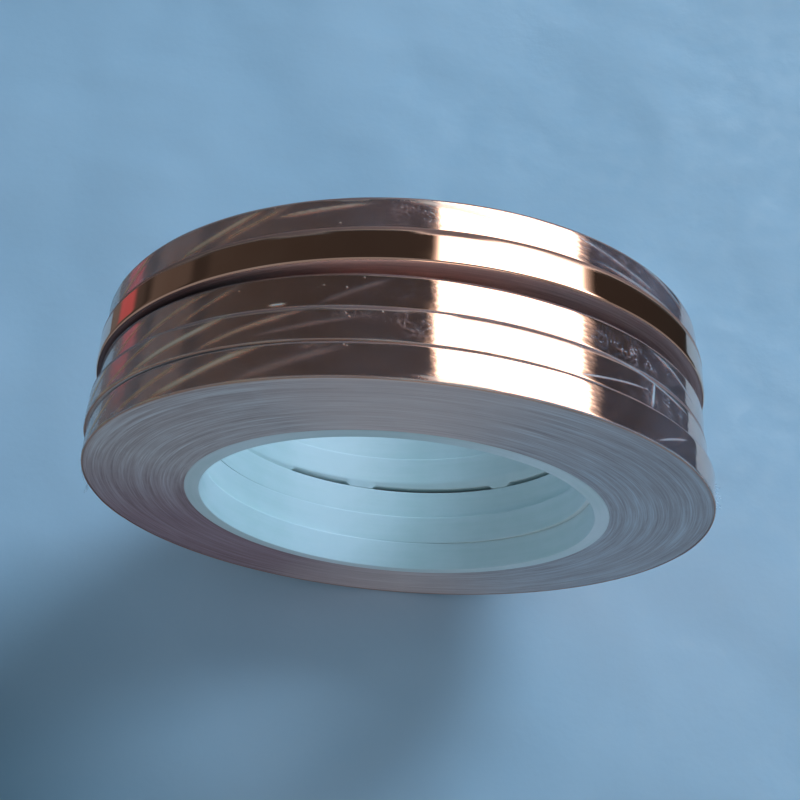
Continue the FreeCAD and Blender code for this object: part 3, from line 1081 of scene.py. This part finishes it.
# The part of the room in front of the row: its plain tone and where it gives way to the back
# part, then how much of the window shows in it and between which directions that comes in.
FRONT_TONE = (0.20, 0.235, 0.27)
FRONT_BACK = (-0.05, 0.15)
FRONT_WINDOW = 0.7
FRONT_WINDOW_REACH = (-0.70, -0.85)

AMBIENT_COLOUR = (0.45, 0.74, 1.0)
AMBIENT_STRENGTH = 0.27


def make_room():
    """Soft bluish light all round, and for shiny faces a dark room with one big window."""
    world = bpy.data.worlds.new("studio")
    bpy.context.scene.world = world
    world.use_nodes = True
    world.node_tree.nodes.clear()
    room = Nodes(world.node_tree)

    looking = room.add("ShaderNodeTexCoord").outputs["Generated"]
    direction = room.add("ShaderNodeSeparateXYZ", {0: looking}).outputs
    turn = room.math("ARCTAN2", direction["X"], direction["Z"])
    stops = [((angle + 180) / 360, tone) for angle, tone in ROOM_TONES]
    tones = room.ramp(room.rise(turn, -math.pi, math.pi), stops)

    def smooth_rise(value, low, high, top=1.0):
        return room.rise(value, low, high, top, "SMOOTHSTEP")

    red_share = smooth_rise(direction["Y"], *RED_BACK)
    for begins, full in RED_HEADINGS:
        inside = smooth_rise(turn, math.radians(begins), math.radians(full))
        red_share = room.math("MULTIPLY", red_share, inside)
    back_part = room.mix(red_share, tones, RED)

    # In front of the row the room is one plain tone, until the window shows again far forward.
    far_front = smooth_rise(direction["Y"], *FRONT_WINDOW_REACH, FRONT_WINDOW)
    dimmed = room.mix(far_front, (0.0, 0.0, 0.0), back_part)
    front_part = room.mix(1.0, dimmed, FRONT_TONE, "LIGHTEN")
    mirrored = room.mix(smooth_rise(direction["Y"], *FRONT_BACK), front_part, back_part)

    # The glow goes by the square of the tone, so that the window stands out and the room is dark.
    glow = room.math("MULTIPLY", room.math("POWER", mirrored, 2.0), WINDOW_BRIGHTNESS)
    strength = room.math("ADD", glow, 1.0)
    shiny = room.add("ShaderNodeBackground", {"Color": mirrored, "Strength": strength})
    soft = room.add(
        "ShaderNodeBackground", {"Color": (*AMBIENT_COLOUR, 1), "Strength": AMBIENT_STRENGTH}
    )
    glossy = room.add("ShaderNodeLightPath").outputs["Is Glossy Ray"]
    chosen = room.add(
        "ShaderNodeMixShader", {0: glossy, 1: soft.outputs[0], 2: shiny.outputs[0]}
    )
    room.add("ShaderNodeOutputWorld", {"Surface": chosen.outputs[0]})


# The lamps: heading from +Y towards +X and height, both in degrees, distance and size in metres,
# power in watts, and colour.
LAMPS = {
    "window_light": (41, 31, 3.0, 1.4, 62.0, (0.45, 0.73, 1.0)),
    "front_fill": (190, 8, 1.2, 0.6, 1.5, (1.0, 0.90, 0.88)),
}


def add_lamp(name, azimuth, elevation, distance, size, power, colour):
    """A soft square lamp that looks at the row and that shiny faces don't mirror."""
    lamp = bpy.data.lights.new(name, "AREA")
    lamp.size = size
    lamp.energy = power
    lamp.color = colour
    holder = bpy.data.objects.new(name, lamp)
    bpy.context.scene.collection.objects.link(holder)
    turn, lift = math.radians(azimuth), math.radians(elevation)
    level = math.cos(lift)
    away = Vector((math.sin(turn) * level, math.cos(turn) * level, math.sin(lift)))
    holder.location = away * distance
    holder.rotation_euler = away.to_track_quat("Z", "Y").to_euler()
    holder.visible_glossy = False


# The camera's place and aim, its turn about its line of sight in degrees, and its lens in mm.
CAMERA_AT = Vector((0.0, -69.33, 197.38)) * MM
CAMERA_AIM = Vector((-0.94, 12.0, 20.30)) * MM
CAMERA_ROLL = 4.27
CAMERA_LENS = 47.89


def make_camera():
    """A camera in front of the row and high above it, turned a little about its line of sight."""
    camera = bpy.data.cameras.new("camera")
    camera.lens = CAMERA_LENS
    camera.clip_start = 0.01
    holder = bpy.data.objects.new("camera", camera)
    bpy.context.scene.collection.objects.link(holder)
    forward = (CAMERA_AIM - CAMERA_AT).normalized()
    level = forward.cross(Vector((0, 0, 1))).normalized()
    upright = level.cross(forward)
    roll = math.radians(CAMERA_ROLL)
    right = level * math.cos(roll) + upright * math.sin(roll)
    up = upright * math.cos(roll) - level * math.sin(roll)
    turn = Matrix((right, up, -forward)).transposed()
    holder.matrix_world = Matrix.Translation(CAMERA_AT) @ turn.to_4x4()
    bpy.context.scene.camera = holder


# -------------------- build

# A wound side's tints of painted light and shade: overall, on its right and on its left.
# The open roll's wound sides are a copy of the same material, painted darker on its sides and
# warmer overall.
WRAPPED_PAINTED_LIGHT = ((1.0, 1.0, 1.0), (0.73, 0.81, 0.88), (1.0, 1.0, 1.0))
OPEN_PAINTED_LIGHT = ((1.15, 0.88, 0.83), (0.64, 0.62, 0.64), (0.22, 0.19, 0.20))

plastic = core_plastic()
wrapped_edges = wound_edges("wound_edges", *WRAPPED_PAINTED_LIGHT)
shaded_open_edges = wound_edges("wound_edges_open_shaded", *OPEN_PAINTED_LIGHT)
open_copper = copper_foil("copper_foil_open", 0.0015, 0.0)
wrapped_copper = copper_foil("copper_foil_wrapped", 0.03, 0.045)
film = stretch_film()
paper = liner_paper()

for number in ROLLS:
    roll = read_roll(number)
    wrapped = number in WRAPPED_ROLLS
    edges = wrapped_edges if wrapped else shaded_open_edges
    copper = wrapped_copper if wrapped else open_copper
    crown = WRAPPED_CROWN if wrapped else OPEN_CROWN
    place_on_roll(make_core(roll, plastic), roll, "core")
    place_on_roll(make_winding(roll, edges), roll, "wound_tape")
    place_on_roll(make_outer_turn(roll, copper, crown), roll, "outer_turn")
    if wrapped:
        place_on_roll(make_film(roll, film), roll, "film_wrap")
        make_film_end(roll, film)
    else:
        make_tape_end(roll, {"release_liner": paper, "copper_foil": open_copper})

make_floor(floor_sheet())
make_room()
for name, settings in LAMPS.items():
    add_lamp(name, *settings)
make_camera()
bpy.context.scene.view_settings.view_transform = "Standard"
